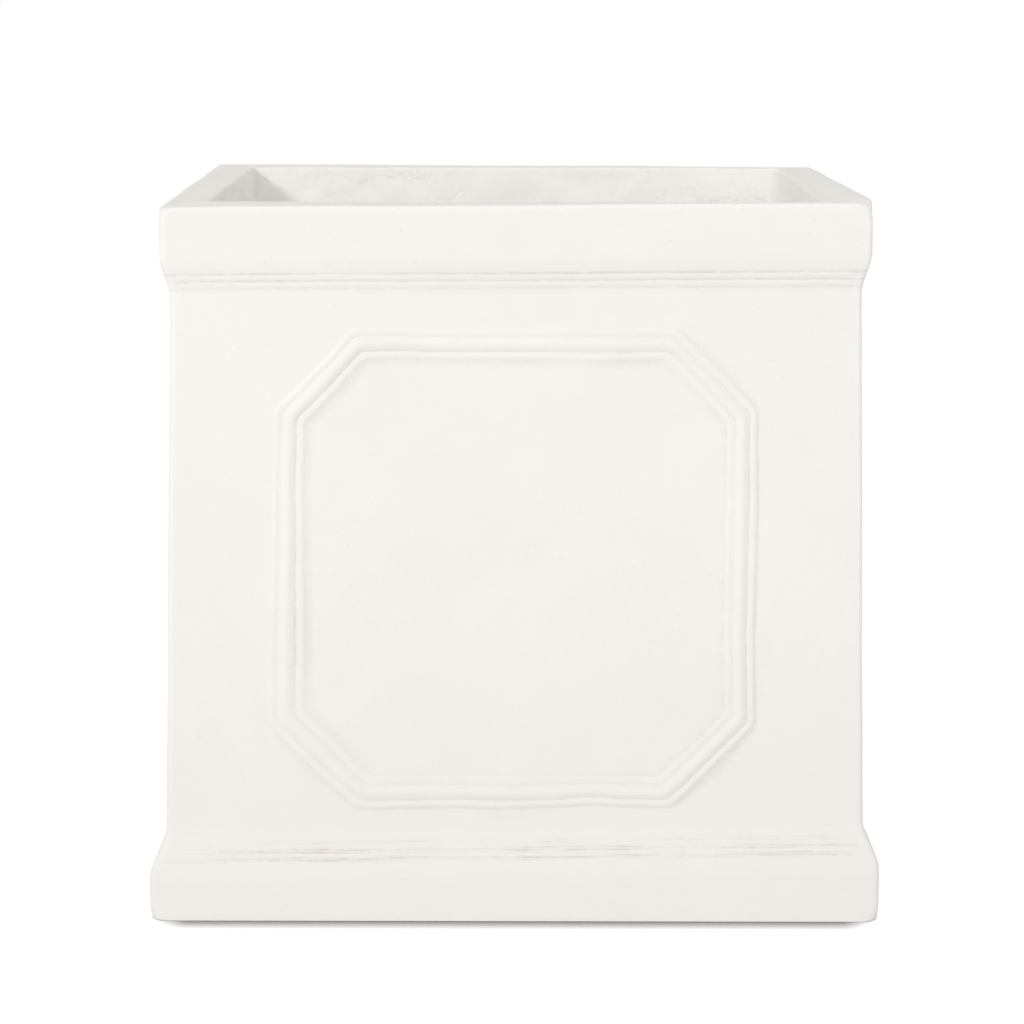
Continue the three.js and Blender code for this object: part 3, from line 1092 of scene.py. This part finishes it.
# %% Plainer castings: the floor slab and the mortar
def rough_stone(name, light, dark, grain_size, bump_distance):
    """A stone without marks: grain and clouds only."""
    parts = new_material(name)
    tree = parts[1]
    place = object_place(tree)
    grain = place_group(tree, grain_group, Place=place, Size=grain_size)
    clouded = place_group(tree, mottle_group, Place=place, Size=11.0, Light=light, Dark=dark)
    grains = times(tree, grain.outputs["Grains"], 0.22)
    stone = blend_colour(tree, grains, clouded.outputs[0], wash_colour)
    roughness = ranged(tree, grain.outputs["Height"], 0.4, 1.0, 0.84, 0.97)
    finish_surface(parts, stone, grain.outputs["Height"], bump_distance, roughness, matt_specular)
    return parts[0]


slab_light, slab_dark = (0.86, 0.838, 0.805, 1), (0.80, 0.776, 0.742, 1)
mortar_light, mortar_dark = (0.91, 0.890, 0.855, 1), (0.86, 0.836, 0.797, 1)
slab_stone = rough_stone("slab_stone", slab_light, slab_dark, 520.0, 0.0006)
drawn_mortar = rough_stone("drawn_mortar", mortar_light, mortar_dark, 430.0, 0.0008)
print("materials:", [material.name for material in bpy.data.materials])

# %% [markdown]
# ## Four panels from one
#
# The four sides come from one mould, so the other three are the first one turned a quarter
# each. What differs is the hand work: every cast settles and is rubbed down a little
# differently. So the unevenness is added after the turn. It is a push that depends only on
# the place in space, and so two panels still meet exactly where they join.
#
# Some departures are larger than that. The lines of the mould run a little askew, the front
# corners have been knocked round, the right side of the rim was left higher towards the
# front, and the lower left of the octagon was run a little too far out.

# %% Unevenness of a casting
settled = ((130.0, 0.55, 1), (34.0, 0.22, 2), (11.0, 0.10, 3))     # spacing, amount, seed
run_by_hand = ((75.0, 1.6, 11), (21.0, 0.55, 12))
trowel_lift = 1.6                          # trowel strokes are flatter than they are long


def push(point, spacing, amount, seed):
    """A smooth random shift in three directions."""
    return noise.noise_vector(point / spacing + Vector((seed * 31.7, seed * 11.3, 0))) * amount


def pushes(point, layers):
    """Several pushes at once, each given as (spacing, amount, seed)."""
    return sum((push(point, *layer) for layer in layers), Vector((0, 0, 0)))


def inside_roughness(point):
    """1 on the inner walls, which were trowelled by hand, 0 elsewhere."""
    reach = max(abs(point.x), abs(point.y))
    other = min(abs(point.x), abs(point.y))
    from_corner = smoothstep(cavity_half - other, 2.0, 34.0)
    on_wall = smoothstep(reach, cavity_half + 5.0, cavity_half + 0.5)
    below_edge = 0.15 + 0.85 * smoothstep(point.z, height - 1.0, height - 13.0)
    return on_wall * (0.35 + 0.65 * from_corner) * below_edge * (point.z > groove_head + 0.5)


def in_groove(point):
    """True where the slab is let into the panels, which has to stay true."""
    reach = max(abs(point.x), abs(point.y))
    return groove_foot - 3 < point.z < groove_head + 3 and cavity_half - 2 < reach < groove_half + 2


print("the front settles by", tuple(round(v, 2) for v in pushes(Vector((0, -290, 300)), settled)), "mm")


# %% Lines askew, a heaped rim and knocked corners
rim_knock, rim_knock_reach = 3.6, 9.0
foot_knock, foot_knock_reach = 3.4, 7.5
heap_height = 2.5


def askew(point):
    """How much higher or lower the mould's lines run at a point of the outside."""
    reach = max(abs(point.x), abs(point.y))
    outside = smoothstep(reach, cavity_half + 8.0, cavity_half + 25.0)
    at_rim = smoothstep(point.z, hole_head, rim_sweep_foot)
    to_back = 0.5 + 0.5 * min(max(point.y / rim_half, -1.0), 1.0)
    rim_tilt = rim_slope + (rim_back_slope - rim_slope) * to_back
    at_plinth = smoothstep(point.z, 4.0, plinth_fascia_top - 4.0)
    at_plinth *= smoothstep(point.z, hole_foot, hole_foot - 18.0)
    return point.x * outside * (rim_tilt * at_rim + plinth_slope * at_plinth)


def knocked(point):
    """The shift that rounds the front corners of the rim and the foot, which get most knocks."""
    side = math.copysign(1.0, point.x)
    rim_corner = Vector((side * rim_half, -rim_half, height))
    foot_corner = Vector((side * plinth_half, -plinth_half, 0.0))
    at_rim = near((point - rim_corner).length, rim_knock_reach)
    at_foot = near((point - foot_corner).length, foot_knock_reach)
    return (Vector((-side, 1.0, -1.0)).normalized() * rim_knock * at_rim
            + Vector((-side, 1.0, 0.8)).normalized() * foot_knock * at_foot)


def heaped(point):
    """How much higher the right side of the rim was left towards the front."""
    on_right = smoothstep(point.x, cavity_half + 8.0, cavity_half + 25.0)
    at_front = smoothstep(-point.y, -150.0, 230.0) * smoothstep(-point.y, rim_half, rim_half - 24.0)
    return heap_height * on_right * at_front * smoothstep(point.z, height - 15.0, height - 4.0)


print("right end of the rim stands", round(askew(Vector((rim_half, -rim_half, height))), 2), "mm higher")


# %% The pulled octagon and the whole unevenness
pull_left, pull_down = 6.0, 3.0
pull_margin = 24.0             # how far outside the moulding the pull starts


def pulled(point):
    """How far the octagon's lower left was run outwards, as a shift of a point of the front."""
    depth = octagon_depth(point.x, point.z)
    if not is_outside(point) or depth < -pull_margin:
        return Vector((0, 0, 0))
    on_moulding = smoothstep(depth, -pull_margin, 0.0) * smoothstep(depth, moulding_width + 4.0, 1.0)
    to_left = smoothstep(point.x, -110.0, -185.0) * smoothstep(point.z, 430.0, 150.0)
    to_foot = smoothstep(point.x, 90.0, -150.0) * smoothstep(point.z, 190.0, 110.0)
    return Vector((-pull_left * to_left, 0, -pull_down * to_foot)) * on_moulding


def uneven(point, moulded=0.0):
    """Where a point of a perfect casting really lies."""
    if in_groove(point):
        return point
    point = point + Vector((0, 0, askew(point) + heaped(point))) + knocked(point)
    shift = pushes(point, settled)
    if moulded > 0.0:
        shift += pushes(point, run_by_hand) * moulded
    trowelled = Vector((point.x, point.y, point.z * trowel_lift))
    shift += (push(trowelled, 42.0, 1.5, 4) + push(point, 15.0, 0.7, 5)) * inside_roughness(point)
    return point + shift * smoothstep(point.z, 0.0, 8.0)


print("octagon's lower left is pulled by",
      tuple(round(v, 1) for v in pulled(Vector((-octagon_side / 2 + octagon_across + 1, -290, 200)))))


# %% Cast a piece
def cast_object(bm, name, material, replaced):
    """Makes a finished piece from a bmesh in millimetres."""
    bmesh.ops.scale(bm, verts=bm.verts, vec=(MM, MM, MM))
    for face in bm.faces:
        face.smooth = True
    mesh = bpy.data.meshes.new(name)
    bm.to_mesh(mesh)
    bm.free()
    mesh.materials.append(material)
    piece = bpy.data.objects.new(name, mesh)
    bpy.context.scene.collection.objects.link(piece)
    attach(piece, "root")
    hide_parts(replaced)
    mesh.calc_loop_triangles()
    print(name, "has", len(mesh.loop_triangles), "triangles")


# %% Cast the four panels
end_corners = 40               # only the flat mitred ends have more corners than this

for face in panel.faces:
    if len(face.verts) > end_corners:
        for edge in face.edges:
            edge.smooth = False
for quarter, side in enumerate(("front", "right", "back", "left")):
    turned = panel.copy()
    moulded_mark = add_marks(turned, 20 * quarter + 3)
    for vert in turned.verts:
        vert.co += pulled(vert.co)
    bmesh.ops.rotate(turned, verts=turned.verts, cent=(0, 0, 0),
                     matrix=Matrix.Rotation(math.radians(90 * quarter), 3, "Z"))
    for vert in turned.verts:
        vert.co = uneven(vert.co, vert[moulded_mark])
    cast_object(turned, side + "_cast", cast_stone, side + "_panel")
panel.free()

# %% [markdown]
# ## The floor slab
#
# The slab is a plain square casting with a round drain hole. A square loop and a round loop
# of equally many points are bridged to make its top, so that the faces flow from the hole to
# the edge. Extruding both loops down and bridging them again closes the underside.

# %% Slab from two loops
drain_top, drain_foot = 38.0, 33.0
slab_half = slab_high.x
slab_thickness = slab_high.z - slab_low.z
side_points = 24

slab = bmesh.new()
bmesh.ops.create_circle(slab, cap_ends=False, segments=4 * side_points, radius=drain_top / 2)
hole_loop = slab.edges[:]
bmesh.ops.create_grid(slab, x_segments=side_points, y_segments=side_points, size=slab_half)
middle = [vert for vert in slab.verts if vert.link_faces and not vert.is_boundary]
bmesh.ops.delete(slab, geom=middle, context="VERTS")
outer_loop = [edge for edge in slab.edges if edge not in hole_loop]
print("loops of", len(hole_loop), "and", len(outer_loop), "edges")

# %% Bridge, extrude and close
edge_softness = {"hole": 2.2, "hole_foot": 1.2, "outer": 1.5, "outer_foot": 1.5}
screeded = ((55.0, 1.1, 7), (17.0, 0.5, 8))      # spacing, amount, seed


def extruded(bm, edges, drop, widen):
    """Extrudes a loop down by drop, scales it by widen and returns the new loop."""
    made = bmesh.ops.extrude_edge_only(bm, edges=edges)["geom"]
    verts = [part for part in made if isinstance(part, bmesh.types.BMVert)]
    bmesh.ops.translate(bm, verts=verts, vec=(0, 0, -drop))
    bmesh.ops.scale(bm, verts=verts, vec=(widen, widen, 1))
    return [part for part in made if isinstance(part, bmesh.types.BMEdge)]


top = bmesh.ops.bridge_loops(slab, edges=hole_loop + outer_loop)
rims = set(hole_loop + outer_loop)
across_top = [edge for edge in top["edges"] if edge not in rims]
bmesh.ops.subdivide_edges(slab, edges=across_top, cuts=22, use_grid_fill=True)
hole_foot_loop = extruded(slab, hole_loop, slab_thickness, drain_foot / drain_top)
outer_foot_loop = extruded(slab, outer_loop, slab_thickness, 1.0)
bmesh.ops.bridge_loops(slab, edges=hole_foot_loop + outer_foot_loop)
loops = (hole_loop, hole_foot_loop, outer_loop, outer_foot_loop)
for loop, softness in zip(loops, edge_softness.values()):
    bmesh.ops.bevel(slab, geom=loop, offset=softness, offset_type="OFFSET", segments=3, profile=0.5,
                    affect="EDGES", material=-1)
bmesh.ops.translate(slab, verts=slab.verts, vec=(0, 0, slab_high.z))
bmesh.ops.recalc_face_normals(slab, faces=slab.faces)
for vert in slab.verts:
    if max(abs(vert.co.x), abs(vert.co.y)) < cavity_half - 2:
        vert.co += pushes(vert.co, screeded)
print("slab of", len(slab.faces), "faces, open edges:", sum(e.is_boundary for e in slab.edges))
cast_object(slab, "floor_cast", slab_stone, "floor_slab")

# %% [markdown]
# ## The mortar fillets
#
# Each inner corner is filled with mortar and drawn smooth with a round tool, which leaves a
# hollow cove. A single point spun a quarter turn draws the cove; two straight backs close
# it. It is then run up the corner in short steps, so that its width and face can waver as
# the tool did, and it thins out at the top.

# %% Draw the cove and run it up
cove_leg, cove_edge = 24.0, 1.5
cove_back = 1.2                 # how far it is keyed into the walls
cove_low, cove_high = (corner.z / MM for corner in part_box("front_left_fillet"))
cove_steps = 60

cove = bmesh.new()
start = cove.verts.new((cove_leg, cove_edge, cove_low))
bmesh.ops.spin(cove, geom=[start], cent=(cove_leg, cove_leg, cove_low), axis=(0, 0, 1),
               dvec=(0, 0, 0), angle=math.radians(-90), steps=10, use_merge=False)
ends = [vert for vert in cove.verts if len(vert.link_edges) == 1]
ends.sort(key=lambda v: v.co.y)
backs = [cove.verts.new((x, y, cove_low)) for x, y in
         ((cove_leg, -cove_back), (-cove_back, -cove_back), (-cove_back, cove_leg))]
for first, second in zip((ends[0], *backs), (*backs, ends[1])):
    cove.edges.new((first, second))
cove_step = (cove_high - cove_low) / cove_steps
bmesh.ops.spin(cove, geom=cove.verts[:] + cove.edges[:], cent=(0, 0, 0), axis=(0, 0, 1),
               dvec=(0, 0, cove_step), angle=0, steps=cove_steps, use_merge=False)
bmesh.ops.holes_fill(cove, edges=[edge for edge in cove.edges if edge.is_boundary], sides=0)
bmesh.ops.recalc_face_normals(cove, faces=cove.faces)
print("cove of", len(cove.faces), "faces from", round(cove_low, 1), "to", round(cove_high, 1))

# %% Draw each one by hand
for quarter, corner in enumerate(("front_left", "front_right", "back_right", "back_left")):
    drawn = cove.copy()
    for vert in drawn.verts:
        width = 1 + 0.10 * waver(quarter * 90, vert.co.z, 38.0, 9)
        width *= 1 - 0.7 * smoothstep(vert.co.z, cove_high - 16.0, cove_high)
        for axis in (0, 1):
            if vert.co[axis] > 0:
                vert.co[axis] *= width
        if min(vert.co.x, vert.co.y) > 0:
            vert.co += push(vert.co + Vector((quarter * 90, 0, 0)), 13.0, 0.8, 10)
        vert.co.z = min(max(vert.co.z, cove_low), cove_high)
    bmesh.ops.translate(drawn, verts=drawn.verts, vec=(-cavity_half, -cavity_half, 0))
    bmesh.ops.rotate(drawn, verts=drawn.verts, cent=(0, 0, 0),
                     matrix=Matrix.Rotation(math.radians(90 * quarter), 3, "Z"))
    cast_object(drawn, corner + "_mortar", drawn_mortar, corner + "_fillet")
cove.free()
